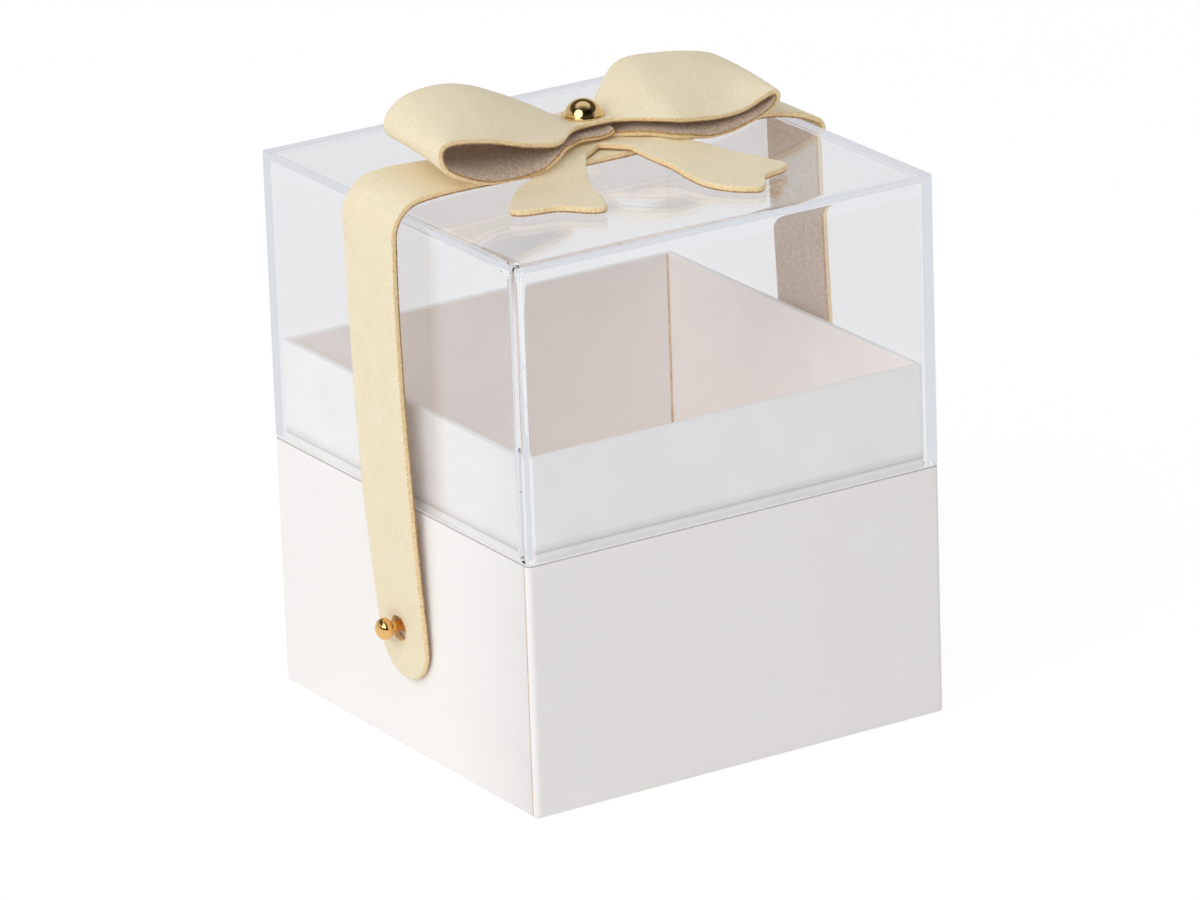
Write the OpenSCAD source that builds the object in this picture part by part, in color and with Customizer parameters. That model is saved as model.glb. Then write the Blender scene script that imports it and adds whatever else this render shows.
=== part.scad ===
// Favor box: a rigid paper-wrapped base with a standing collar, a clear lid that drops over
// the collar onto the base's rim, and a leather strap with a bow that buttons at each end
// over a ball stud. X runs along the strap, -Y is the side the bow's tails point to.

/* [Base] */
// Outside width and depth of the base
box_w = 100; // [84:1:130]
// Height of the base from the table to its rim
base_h = 54.5; // [45:0.5:80]
// Thickness of the greyboard that the tray is folded from
board_t = 1.8; // [1.6:0.1:2.4]
// Thickness of the covering paper
paper_t = 0.2; // [0.15:0.05:0.25]
// Outside radius of the base's upright corners
corner_r = 1.1; // [0.8:0.1:1.6]
// How far the covering paper is turned over the rim and under the floor
turn_in = 15; // [8:1:20]

/* [Collar] */
// How far the collar stands above the rim
collar_rise = 22; // [14:1:30]
// Thickness of the collar's board
collar_t = 1.5; // [1.2:0.1:2]

/* [Lid] */
// Height of the closed lid above the rim
lid_h = 62.9; // [50:0.1:80]
// Thickness of the clear sheet
sheet_t = 2; // [1.5:0.1:3]
// How much smaller the lid is than the base on each side
lid_inset = 0.1; // [0.05:0.05:0.4]
// Width of the polished bevel along the clear sheet's outer edges
edge_bevel = 0.3; // [0.1:0.05:0.5]

/* [Strap] */
// Width of the leather strap
strap_w = 18.5; // [14:0.5:20]
// Thickness of the leather in the strap and the bow
leather_t = 1.4; // [1.1:0.1:1.6]
// Diameter of the buttonhole near each end of the strap
hole_d = 5.9; // [5.8:0.1:6.2]
// Outer radius of the slack bend over the lid's left edge
bend_r = 8; // [7:0.5:9]
// Outer radius of the tight bend over the lid's right edge
tight_bend_r = 3.2; // [3.1:0.1:3.6]

/* [Studs] */
// Height of the ball studs above the table
stud_z = 27.8; // [25:0.1:32]
// Diameter of the stud's flattened ball
ball_d = 4.8; // [4.4:0.1:4.9]
// Length of the ball along the stud
ball_long = 3.6; // [3.2:0.1:4]
// Distance from the base's face to the ball's centre
ball_reach = 5.1; // [5:0.1:5.4]

/* [Bow rivet] */
// Width of the rivet's domed cap over its flange
cap_d = 9; // [8:0.5:10]
// Height of the domed cap
cap_h = 3.6; // [3:0.1:3.7]

/* [Hidden] */
$fn = 48;

// Base, worked out from the outside inwards
half_w = box_w / 2;
wrap_in = half_w - paper_t;
stay_t = 0.15;
board_out = wrap_in - stay_t;
board_in = board_out - board_t;
liner_gap = 0.05;
collar_out = board_in - paper_t - liner_gap;
collar_in = collar_out - collar_t;
floor_low = 2 * paper_t;
floor_top = floor_low + board_t;
board_top = base_h - paper_t;
collar_top = base_h + collar_rise;
sheet_margin = 1;
stay_reach = 9;
seam_gap = 0.25;
wrap_seam_back = 1.4;

// Lid
seat_gap = 0.05;
lid_low = base_h + seat_gap;
lid_out = half_w - lid_inset;
lid_in = lid_out - sheet_t;
lid_z = base_h + lid_h;
ceiling_z = lid_z - sheet_t;

// Strap: its outer surface hangs slack over the lid. On the left it turns down well past the
// lid's edge and comes back to the base's face at the stud; on the right it lies close to the lid
strap_mid_z = lid_z + 4.2;
slack_stand_off = 4.6;
tight_stand_off = 1.6;
tight_bend_drop = 0.9;
tip_gap = 0.15;
bend_z = strap_mid_z - bend_r;
tip_x = half_w + tip_gap + leather_t;
hole_drop = 0.5;
stud_y = -0.8;
hole_side = -0.3;
tip_side = -3;
tip_drop = 1.8;
hole_z = stud_z - hole_drop;
tip_narrow = 0.7;
tip_r = strap_w / 2 - tip_narrow;
tip_z = hole_z - tip_drop;
knot_flat = 7;

// Studs and their screws
neck_r = 1.05;
stud_foot_r = 1.9;
stud_foot_t = 0.4;
stud_sleeve_r = 1.5;
stud_bore_r = 0.85;
stud_bore_depth = 1.2;
screw_fit = 0.05;
screw_head_r = 3;
screw_head_t = 0.9;
head_seat_x = board_in + screw_head_t;

// Bow: its own origin is on the strap's upper surface, on the rivet's axis
bow_x = -1.9;
bow_y = 0.6;
layer_gap = 0.1;
waist_r = 4.8;
lobe_front = 13.5;
lobe_back = 9.5;
waist_flat = 3;
waist_flare = 13;
left_skew = 0.03;
post_r = 1.6;
post_bore_r = 0.95;
leather_hole_r = 1.7;
rivet_head_r = 3.5;
rivet_head_t = 1;

// One layer of the bow at the knot, counted upwards from the strap
function layer_z(n) = (n - 0.5) * (leather_t + layer_gap) + layer_gap / 2;
cap_z = strap_mid_z + layer_z(4) + leather_t / 2;

// Each loop's middle surface as [x, height of front edge, height of back edge], from the
// strip's end at the knot round the loop to the rivet on top, where the two loops meet
left_loop_stations = concat(
    [for (x = [3.6, 1, -3.5]) [x, layer_z(3), layer_z(3)]],
    [[-7.5, 3.3, 3.6], [-11.5, 3.8, 3.6], [-14.5, 3, 3.8], [-17.5, 1.5, 4], [-20.5, 0.8, 4.2],
     [-25, 0.6, 4.4], [-31, 1, 4.7], [-36.5, 2.8, 5.6], [-41, 5.4, 7.2], [-42.4, 8.6, 9.6],
     [-41.1, 10.7, 12.2], [-37, 10.8, 14.5], [-29.5, 9.4, 15.1], [-22.5, 7.3, 13.7],
     [-15.5, 5.9, 10.8], [-8.5, 5.7, 7.4]],
    [for (x = [-5, -2, 0]) [x, layer_z(4), layer_z(4)]]);
right_loop_stations = concat(
    [for (x = [0, 3.5, 5]) [x, layer_z(4), layer_z(4)]],
    [[6.5, 5.4, 6.1], [9.2, 5.5, 8.6], [13.2, 5.5, 11.4], [17.7, 4.9, 12.4], [24.5, 4.2, 11.9],
     [30.3, 4.5, 11.1], [35.3, 6.2, 10], [38, 6.9, 9], [38.9, 5.9, 8.2], [38.3, 4.5, 7],
     [36.6, 3.3, 6], [33.8, 2.2, 5.2], [30.2, 1.2, 4.6], [26, 0.5, 4.2], [21, 0.6, 4],
     [16.7, 1.6, 3.8], [10.6, 2.5, 3.4], [7.5, 2.6, 2.8]],
    [for (x = [5, 1, -3.3]) [x, layer_z(2), layer_z(2)]]);

// Each tail's middle line in plan with its half width, from the rivet to its end
left_tail = [[0, 0, 4.6], [-5.3, -4.2, 4.4], [-10.3, -8.7, 4.2], [-15.8, -16.2, 5.8], [-20.4, -22, 8.7],
             [-24.2, -28.5, 9.7]];
right_tail = [[0, 0, 4.6], [4.4, -5, 3.9], [8.3, -10.8, 3.4], [14.2, -18.3, 6.2], [18.4, -29.5, 9.2],
              [22.9, -36, 8.4]];
tail_root = [-2, -4.7];
root_inset = 0.04;
tail_rest_z = lid_z - strap_mid_z + 0.15 + leather_t / 2;
tail_drop_start = -10.7;
// Each tail's fall: how gently it falls and how far off the lid it ends
left_drop = [4, 0.5];
right_drop = [8, 0.1];
tail_hump = 0.42;
notch_depth = 2;
lobe_round = 1.6;

// Point on the curve that runs smoothly through a list of stations
function spline_at(p, i, t) =
    let (n = len(p) - 1, a = p[max(i - 1, 0)], b = p[i], c = p[min(i + 1, n)], d = p[min(i + 2, n)])
    0.5 * (2 * b + (c - a) * t + (2 * a - 5 * b + 4 * c - d) * t ^ 2 + (3 * b - a - 3 * c + d) * t ^ 3);
function spline(p, steps) = concat(
    [for (i = [0 : len(p) - 2], k = [0 : steps - 1]) spline_at(p, i, k / steps)], [p[len(p) - 1]]);
function bezier(a, b, c, d, t) =
    a * (1 - t) ^ 3 + 3 * b * t * (1 - t) ^ 2 + 3 * c * t ^ 2 * (1 - t) + d * t ^ 3;
function ease(t) = let (u = min(max(t, 0), 1)) u * u * (3 - 2 * u);

// A flat path moved sideways by a distance, square to itself
function path_normal(p, i) =
    let (d = p[min(i + 1, len(p) - 1)] - p[max(i - 1, 0)]) [d[1], -d[0]] / norm(d);
function moved_path(p, dist) = [for (i = [0 : len(p) - 1]) p[i] + dist * path_normal(p, i)];

// Closed skin round a grid of middle-surface points, half a thickness to each side
function grid_normal(g, i, j) =
    let (r = len(g) - 1, c = len(g[0]) - 1,
         a = g[min(i + 1, r)][j] - g[max(i - 1, 0)][j],
         b = g[i][min(j + 1, c)] - g[i][max(j - 1, 0)],
         n = cross(a, b)) n / norm(n);
module leather_sheet(grid, thickness) {
    rows = len(grid);
    cols = len(grid[0]);
    count = rows * cols;
    skin = [for (side = [0.5, -0.5], i = [0 : rows - 1], j = [0 : cols - 1])
        grid[i][j] + side * thickness * grid_normal(grid, i, j)];
    top = [for (i = [0 : rows - 2], j = [0 : cols - 2]) let (a = i * cols + j)
        each [[a, a + 1, a + cols + 1], [a, a + cols + 1, a + cols]]];
    under = [for (f = top) [f[0] + count, f[2] + count, f[1] + count]];
    rim = concat([for (j = [0 : cols - 1]) j],
                 [for (i = [1 : rows - 1]) i * cols + cols - 1],
                 [for (j = [cols - 2 : -1 : 0]) (rows - 1) * cols + j],
                 [for (i = [rows - 2 : -1 : 1]) i * cols]);
    edge = [for (k = [0 : len(rim) - 1]) let (a = rim[k], b = rim[(k + 1) % len(rim)])
        each [[a, a + count, b + count], [a, b + count, b]]];
    polyhedron(points = skin, faces = concat(top, under, edge), convexity = 8);
}

// Plan of a square with rounded corners, made of plain squares and circles
module rounded_square(half, r) {
    square([2 * half, 2 * (half - r)], center = true);
    square([2 * (half - r), 2 * half], center = true);
    for (sx = [-1, 1], sy = [-1, 1]) translate([sx * (half - r), sy * (half - r)]) circle(r);
}
module square_tube(outer, inner, r_out, r_in, low, high) {
    translate([0, 0, low]) linear_extrude(high - low) difference() {
        rounded_square(outer, r_out);
        rounded_square(inner, r_in);
    }
}
module slab(half, low, high) {
    translate([-half, -half, low]) cube([2 * half, 2 * half, high - low]);
}
// A round bar or bore along X between two places on one side of the box
module bar_x(side, from, to, r, y, z) {
    translate([side * from, y, z]) rotate([0, side * 90, 0]) cylinder(h = to - from, r = r);
}

// Greyboard tray with a counterbored hole for each stud's screw
module tray_board() {
    bore_over = 1;
    color([0.72, 0.68, 0.62]) difference() {
        union() {
            square_tube(board_out, board_in, corner_r - paper_t, 0.2, floor_low, board_top);
            slab(board_in + board_t / 2, floor_low, floor_top);
        }
        for (side = [-1, 1]) {
            bar_x(side, board_in - bore_over, board_out + bore_over, stud_sleeve_r + screw_fit, stud_y, stud_z);
            bar_x(side, board_in - bore_over, head_seat_x, screw_head_r + screw_fit, stud_y, stud_z);
        }
    }
}

// Gummed paper stays that hold the tray's four upright corners together
module corner_stays() {
    color([0.74, 0.62, 0.46]) intersection() {
        square_tube(wrap_in, board_out, corner_r - paper_t, corner_r - paper_t - stay_t,
                    floor_low, board_top);
        for (sx = [-1, 1], sy = [-1, 1])
            translate([sx * (half_w - stay_reach / 2), sy * (half_w - stay_reach / 2), base_h / 2])
                cube([stay_reach, stay_reach, 2 * base_h], center = true);
    }
}

// Covering paper: four sides in one piece with a butt seam beside the front left corner,
// turned over the rim and under the floor
module outer_wrap() {
    color([0.95, 0.94, 0.92]) difference() {
        union() {
            square_tube(half_w, wrap_in, corner_r, corner_r - paper_t, paper_t, base_h);
            square_tube(half_w - paper_t / 2, board_in - paper_t / 2, corner_r, 0.2, board_top, base_h);
            square_tube(board_in, board_in - paper_t, 0.2, 0.2, base_h - turn_in, base_h);
            square_tube(half_w - paper_t / 2, half_w - turn_in, corner_r, 0.2, paper_t, 2 * paper_t);
        }
        translate([-half_w - 1, -half_w + wrap_seam_back, 0])
            cube([1 + 2 * paper_t, seam_gap, 2 * base_h]);
        for (side = [-1, 1]) bar_x(side, board_out, half_w + 1, stud_sleeve_r + screw_fit, stud_y, stud_z);
    }
}

// Sheet pasted under the floor, which the box stands on
module bottom_sheet() {
    color([0.94, 0.93, 0.91]) slab(half_w - sheet_margin, 0, paper_t);
}

// Collar folded from one strip of lined board, its ends meeting at the back right corner
module collar() {
    fold_r = 0.9;
    color([0.96, 0.95, 0.94]) difference() {
        square_tube(collar_out, collar_in, fold_r, 0.2, floor_top, collar_top);
        translate([collar_in - seam_gap, collar_in - 0.5, floor_top - 1])
            cube([seam_gap, collar_t + 1, collar_top]);
    }
}

// Paper that lines the floor inside the collar
module floor_liner() {
    color([0.93, 0.91, 0.89]) slab(collar_in - liner_gap, floor_top, floor_top + paper_t);
}

// Clear top with a polished bevel round its upper edges
module lid_top() {
    section = [[-lid_out, ceiling_z], [lid_out, ceiling_z], [lid_out, lid_z - edge_bevel],
               [lid_out - edge_bevel, lid_z], [-lid_out + edge_bevel, lid_z], [-lid_out, lid_z - edge_bevel]];
    color([0.86, 0.88, 0.92, 0.35]) intersection() {
        translate([0, lid_out, 0]) rotate([90, 0, 0]) linear_extrude(2 * lid_out) polygon(section);
        rotate([90, 0, 90]) translate([0, 0, -lid_out]) linear_extrude(2 * lid_out) polygon(section);
    }
}
// Front and back sheets run the lid's full width, with bevelled outer edges
module wide_wall(side) {
    plan = [[-lid_out, lid_in], [lid_out, lid_in], [lid_out, lid_out - edge_bevel],
            [lid_out - edge_bevel, lid_out], [-lid_out + edge_bevel, lid_out],
            [-lid_out, lid_out - edge_bevel]];
    color([0.86, 0.88, 0.92, 0.35]) rotate([0, 0, side > 0 ? 0 : 180])
        translate([0, 0, lid_low]) linear_extrude(ceiling_z - lid_low) polygon(plan);
}
// Left and right sheets stand between the front and back ones
module narrow_wall(side) {
    color([0.86, 0.88, 0.92, 0.35]) translate([side > 0 ? lid_in : -lid_out, -lid_in, lid_low])
        cube([sheet_t, 2 * lid_in, ceiling_z - lid_low]);
}
module lid_front() wide_wall(-1);
module lid_back() wide_wall(1);
module lid_left() narrow_wall(-1);
module lid_right() narrow_wall(1);

// Outer line of half the strap, seen along Y with its own side as +X: over the lid, round the
// bend and down to the height where the leg is split off
function leg_x(side) = half_w + (side < 0 ? slack_stand_off : tight_stand_off);
function strap_over(side) =
    let (r = side < 0 ? bend_r : tight_bend_r, from = side < 0 ? 84 : 62, slack = side < 0 ? 10 : 15,
         centre = [leg_x(side) - r, side < 0 ? bend_z : lid_z - tight_bend_drop],
         turn = [for (k = [0 : 7]) let (a = from * (1 - k / 7)) centre + r * [cos(a), sin(a)]])
    concat([for (k = [0 : 7]) bezier([knot_flat, strap_mid_z], [knot_flat + 15, strap_mid_z],
                                     turn[0] - slack * [sin(from), -cos(from)], turn[0], k / 8)],
           turn, side < 0 ? [] : [[leg_x(side), bend_z]]);
// and down the leg, which comes in to the base at its tip
function strap_down(side) =
    let (foot = tip_z - tip_r, x = leg_x(side), bulge = side < 0 ? [0, -0.4] : [0.5, 0.8])
    [for (k = [0 : 14]) bezier([x, bend_z], [x + bulge[0], bend_z - 28], [x + bulge[1], foot + 33],
                               [tip_x, foot], k / 14)];
function strip_outline(p) = concat(p, [for (i = [len(p) - 1 : -1 : 0]) moved_path(p, leather_t)[i]]);

// The strap's middle stretch, riveted to the bow
module strap_top() {
    left = strap_over(-1);
    line = concat([for (i = [len(left) - 1 : -1 : 0]) [-left[i][0], left[i][1]]], strap_over(1));
    color([0.91, 0.86, 0.72]) difference() {
        translate([0, strap_w / 2, 0]) rotate([90, 0, 0]) linear_extrude(strap_w)
            polygon(strip_outline(line));
        translate([bow_x, bow_y, strap_mid_z - 5]) cylinder(h = 10, r = leather_hole_r);
        translate([0, 0, bend_z - 5]) cube([2 * leg_x(-1) + 2, strap_w + 2, 10], center = true);
    }
}
// A leg of the strap: it leans a little to the front and ends in a round tip round the hole
module strap_leg(side) {
    outer = strap_down(side);
    fall = bend_z - tip_z;
    middle = [for (k = [0 : 8]) bezier([0, bend_z], [0, bend_z - 0.5 * fall],
                                       [tip_side * 0.6, tip_z + 0.3 * fall], [tip_side, tip_z], k / 8)];
    half = [for (k = [0 : 8]) strap_w / 2 - tip_narrow * (k / 8) ^ 3];
    plan = concat([for (i = [0 : 8]) middle[i] - [half[i], 0]],
                  [for (i = [8 : -1 : 0]) middle[i] + [half[i], 0]]);
    reach = 20;
    color([0.91, 0.86, 0.72]) difference() {
        intersection() {
            translate([0, strap_w, 0]) rotate([90, 0, 0]) linear_extrude(2 * strap_w)
                polygon([for (p = strip_outline(outer)) [side * p[0], p[1]]]);
            union() {
                translate([side * half_w - reach, 0, 0]) rotate([90, 0, 90])
                    linear_extrude(2 * reach) polygon(plan);
                bar_x(side, half_w - reach, half_w + reach, tip_r, tip_side, tip_z);
            }
        }
        bar_x(side, half_w - 5, half_w + 5, hole_d / 2, stud_y + hole_side, hole_z);
    }
}
module strap_left_leg() strap_leg(-1);
module strap_right_leg() strap_leg(1);

// One leather strip, narrow at the knot and wide at the loops, is folded back at both ends
// and riveted through its three layers; it is divided at the rivet into its two loops. Under
// each loop it rises steeply from its front edge, over the strap and the tail
function flare(x) = ease((abs(x) - waist_flat) / waist_flare);
function rise(v, back_z) = sin(90 * v ^ (0.6 + 0.4 * ease((back_z - 5) / 5)));
function loop_row(s) = let (across = [0, 0.1, 0.25, 0.5, 0.75, 1],
                            front = -(waist_r + (lobe_front - waist_r) * flare(s[0])),
                            back = waist_r + (lobe_back - waist_r) * flare(s[0]),
                            skew = s[0] < 0 ? left_skew : 0)
    [for (v = across)
        [s[0] * (1 - skew * v), front + (back - front) * v, s[1] + (s[2] - s[1]) * rise(v, s[2])]];
module bow_loop(stations) {
    steps = 3;
    rows = [for (s = spline(stations, steps)) loop_row(s)];
    color([0.88, 0.83, 0.69]) translate([bow_x, bow_y, strap_mid_z]) difference() {
        leather_sheet(rows, leather_t);
        translate([0, 0, -1]) cylinder(h = 10, r = leather_hole_r);
    }
}
module bow_left_loop() bow_loop(left_loop_stations);
module bow_right_loop() bow_loop(right_loop_stations);

// Height of the tails over the plan: close over the strap, then falling to the lid
function tail_z(x, y, drop) =
    let (over = layer_z(1) + tail_hump * ease((abs(x) - 6) / 14), past = min(y - tail_drop_start, 0),
         rest = tail_rest_z + drop[1])
    rest + (over - rest) * exp(past / drop[0]);
// How far the tail's end steps back: a shallow notch in the middle and rounded lobes
function tail_cut(v) = notch_depth * (0.5 + 0.5 * cos(180 * min(abs(v) / 0.75, 1)))
    + lobe_round * (1 - sqrt(1 - ((max(abs(v), 0.8) - 0.8) / 0.2) ^ 2));
function tail_rows(line, drop) =
    let (steps = 4, p = spline(line, steps), n = len(p) - 1,
         across = [-1, -0.97, -0.9, -0.75, -0.5, -0.25, 0, 0.25, 0.5, 0.75, 0.9, 0.97, 1])
    [for (i = [0 : n])
        let (d = p[min(i + 1, n)] - p[max(i - 1, 0)], dir = [d[0], d[1]] / norm([d[0], d[1]]),
             square_off = [-dir[1], dir[0]])
        [for (v = across)
            let (q = [p[i][0], p[i][1]] + v * p[i][2] * square_off
                     - ease((i / n - 0.6) / 0.4) * tail_cut(v) * dir)
            [q[0], q[1], tail_z(q[0], q[1], drop)]]];
module bow_tails() {
    color([0.88, 0.83, 0.69]) translate([bow_x, bow_y, strap_mid_z]) difference() {
        union() {
            for (at = [[0, 0], tail_root]) translate([at[0], at[1], layer_gap + root_inset])
                cylinder(h = leather_t - 2 * root_inset, r = waist_r);
            leather_sheet(tail_rows(left_tail, left_drop), leather_t);
            leather_sheet(tail_rows(right_tail, right_drop), leather_t);
        }
        translate([0, 0, -1]) cylinder(h = 10, r = leather_hole_r);
    }
}

// Domed cap with a thin flange, whose post passes through the bow and the strap
module bow_rivet_cap() {
    flange_t = 0.35;
    dome_half = cap_d / 2 - 0.45;
    dome_r = (dome_half ^ 2 + cap_h ^ 2) / (2 * cap_h);
    post_low = strap_mid_z - leather_t;
    color([0.83, 0.66, 0.30]) translate([bow_x, bow_y, 0]) difference() {
        union() {
            intersection() {
                translate([0, 0, cap_z + cap_h - dome_r]) sphere(dome_r);
                translate([0, 0, cap_z]) cylinder(h = 2 * cap_h, r = cap_d);
            }
            translate([0, 0, cap_z]) cylinder(h = flange_t, r = cap_d / 2);
            translate([0, 0, post_low]) cylinder(h = cap_z - post_low + 0.5, r = post_r);
        }
        translate([0, 0, post_low - 1]) cylinder(h = 6, r = post_bore_r);
    }
}
// Screw that closes the rivet from under the strap
module bow_rivet_screw() {
    seat = strap_mid_z - leather_t;
    slot_w = 0.6;
    color([0.80, 0.64, 0.32]) translate([bow_x, bow_y, 0]) difference() {
        union() {
            translate([0, 0, seat - rivet_head_t]) cylinder(h = rivet_head_t, r = rivet_head_r);
            translate([0, 0, seat - rivet_head_t / 2]) cylinder(h = 4.5, r = post_bore_r - screw_fit);
        }
        translate([-rivet_head_r - 1, -slot_w / 2, seat - rivet_head_t - 1])
            cube([2 * rivet_head_r + 2, slot_w, 1.4]);
    }
}

// Turned ball stud: a sleeve in the board, a thin foot on the paper, a waisted neck and a ball
module ball_stud(side) {
    head_start = -acos(neck_r / (ball_d / 2));
    sleeve = half_w - head_seat_x;
    outline = [[0, -sleeve], [stud_sleeve_r, -sleeve], [stud_sleeve_r, 0], [stud_foot_r, 0],
               [stud_foot_r, stud_foot_t - 0.15], [stud_foot_r - 0.15, stud_foot_t],
               [1.5, stud_foot_t], [1.25, 1.2], [neck_r + 0.02, 2.2]];
    head = [for (k = [0 : 14]) let (a = head_start + (90 - head_start) * k / 14)
        [ball_d / 2 * cos(a), ball_reach + ball_long / 2 * sin(a)]];
    color([0.84, 0.67, 0.33]) translate([side * half_w, stud_y, stud_z]) rotate([0, side * 90, 0]) difference() {
        rotate_extrude() polygon(concat(outline, [for (k = [0 : 13]) head[k]], [[0, head[14][1]]]));
        translate([0, 0, -sleeve - 1]) cylinder(h = sleeve + 1 + stud_bore_depth, r = stud_bore_r);
    }
}
module left_stud() ball_stud(-1);
module right_stud() ball_stud(1);

// Flat-headed screw that holds a stud from inside the board
module stud_screw(side) {
    head_low = head_seat_x - screw_head_t + screw_fit;
    slot_w = 0.5;
    slot_depth = 0.4;
    color([0.70, 0.68, 0.64]) difference() {
        union() {
            bar_x(side, head_low, head_seat_x, screw_head_r, stud_y, stud_z);
            bar_x(side, head_low + 0.3, half_w + stud_bore_depth - 0.1, stud_bore_r - screw_fit, stud_y, stud_z);
        }
        translate([side * head_low, stud_y, stud_z]) cube([2 * slot_depth, 8, slot_w], center = true);
    }
}
module left_stud_screw() stud_screw(-1);
module right_stud_screw() stud_screw(1);

tray_board();
corner_stays();
outer_wrap();
bottom_sheet();
collar();
floor_liner();
lid_top();
lid_front();
lid_back();
lid_left();
lid_right();
strap_top();
strap_left_leg();
strap_right_leg();
bow_left_loop();
bow_right_loop();
bow_tails();
bow_rivet_cap();
bow_rivet_screw();
left_stud();
right_stud();
left_stud_screw();
right_stud_screw();
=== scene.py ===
import math
from bisect import bisect_right

import bmesh
import bpy
from mathutils import Matrix, Quaternion, Vector, noise
from mathutils.geometry import delaunay_2d_cdt


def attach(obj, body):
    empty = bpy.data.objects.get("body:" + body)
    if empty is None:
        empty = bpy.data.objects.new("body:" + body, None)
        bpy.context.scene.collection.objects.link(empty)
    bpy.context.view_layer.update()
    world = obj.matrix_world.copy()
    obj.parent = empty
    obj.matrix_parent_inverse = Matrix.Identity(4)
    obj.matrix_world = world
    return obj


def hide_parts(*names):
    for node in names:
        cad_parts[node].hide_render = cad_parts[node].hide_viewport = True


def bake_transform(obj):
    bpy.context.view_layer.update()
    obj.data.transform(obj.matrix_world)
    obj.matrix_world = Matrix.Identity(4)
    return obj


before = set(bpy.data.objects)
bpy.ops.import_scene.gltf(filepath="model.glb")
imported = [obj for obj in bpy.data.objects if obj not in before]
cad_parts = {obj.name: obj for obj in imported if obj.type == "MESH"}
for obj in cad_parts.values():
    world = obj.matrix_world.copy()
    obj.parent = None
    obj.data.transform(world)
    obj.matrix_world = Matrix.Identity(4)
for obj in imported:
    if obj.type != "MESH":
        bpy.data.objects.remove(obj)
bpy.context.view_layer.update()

MM = 0.001

# Sizes of the box in millimetres, as in the CAD
HALF_W = 50.0
PAPER_T = 0.2
BASE_H = 54.5
CORNER_R = 1.1
SEAM_Y = (-48.6, -48.35)
BOARD_IN = 47.85
TURN_IN = 15.0
COLLAR_OUT = 47.6
COLLAR_IN = 46.1
COLLAR_LOW = 2.2
COLLAR_TOP = 76.5
LID_LOW = 54.55
LID_OUT = 49.9
LID_IN = 47.9
LID_TOP = 117.4
CEILING = 115.4

# Sizes of the strap and the bow
LEATHER_T = 1.4
LAYER_GAP = 0.1
STRAP_W = 18.5
STRAP_TOP = 121.6
SPLIT_Z = 113.6
TIP_X = 51.55
KNOT_FLAT = 7.0
HOLE_R = 2.95
HOLE_Y = -1.1
HOLE_Z = 27.3
TIP_Y = -3.0
TIP_Z = 25.5
TIP_NARROW = 0.7
TIP_R = STRAP_W / 2 - TIP_NARROW
BOW = Vector((-1.9, 0.6, 121.6))


# ---------- small helpers ----------
def ease(t):
    t = min(max(t, 0.0), 1.0)
    return t * t * (3 - 2 * t)


def lerp(a, b, t):
    return a + (b - a) * t


def bell(x, width):
    return math.exp(-(x / width) ** 2)


def bezier(a, b, c, d, t):
    s = 1 - t
    return a * s**3 + 3 * b * t * s**2 + 3 * c * t**2 * s + d * t**3


def spline(points, steps):
    """Points on the smooth curve that runs through the stations."""
    out = []
    last = len(points) - 1
    for i in range(last):
        a, b = points[max(i - 1, 0)], points[i]
        c, d = points[i + 1], points[min(i + 2, last)]
        for k in range(steps):
            t = k / steps
            out.append(0.5 * (2 * b + (c - a) * t + (2 * a - 5 * b + 4 * c - d) * t**2
                              + (3 * b - a - 3 * c + d) * t**3))
    return out + [points[last]]


def linear(hex_code):
    """An sRGB hex colour as the linear colour that a shader takes."""
    out = []
    for i in (1, 3, 5):
        c = int(hex_code[i:i + 2], 16) / 255
        out.append(c / 12.92 if c <= 0.04045 else ((c + 0.055) / 1.055) ** 2.4)
    return (*out, 1.0)


def per_metre(size):
    """How often a grain, fibre or mark of this size in millimetres repeats in a metre."""
    return 1 / (size * MM)


def finish_mesh(name, verts, faces, materials, indices=None, sharp=False):
    """A mesh object in metres from points in millimetres."""
    mesh = bpy.data.meshes.new(name)
    mesh.from_pydata([Vector(v) * MM for v in verts], [], faces)
    for m in materials:
        mesh.materials.append(m)
    for i, p in enumerate(mesh.polygons):
        p.use_smooth = not sharp
        if indices:
            p.material_index = indices[i]
    obj = bpy.data.objects.new(name, mesh)
    bpy.context.scene.collection.objects.link(obj)
    return obj


def add(tree, kind, settings=None, inputs=None):
    """Adds one shader node with its settings and links. An input is a value, or (node, output
    name). The setting stops gives a colour ramp its stops, as (position, hex colour)."""
    n = tree.nodes.new(kind)
    for key, value in (settings or {}).items():
        if key != "stops":
            setattr(n, key, value)
            continue
        elements = n.color_ramp.elements
        while len(elements) < len(value):
            elements.new(0.5)
        for e, (at, code) in zip(elements, value):
            e.position = at
            e.color = linear(code)
    for key, value in (inputs or {}).items():
        linked = isinstance(value, tuple) and isinstance(value[0], bpy.types.Node)
        if linked:
            tree.links.new(value[0].outputs[value[1]], n.inputs[key])
        else:
            n.inputs[key].default_value = value
    return n


def new_material(name):
    mat = bpy.data.materials.new(name)
    mat.use_nodes = True
    mat.node_tree.nodes.clear()
    return mat, mat.node_tree


# ---------- materials ----------
# Fibres, nap and polishing marks are finer than a tenth of a millimetre on the real ones. They
# are drawn at about the smallest size that shows in the render.

# Sockets of a Mix node that take two colours and give the mixed one
TONE, TINT, MIXED = 6, 7, 2


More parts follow.
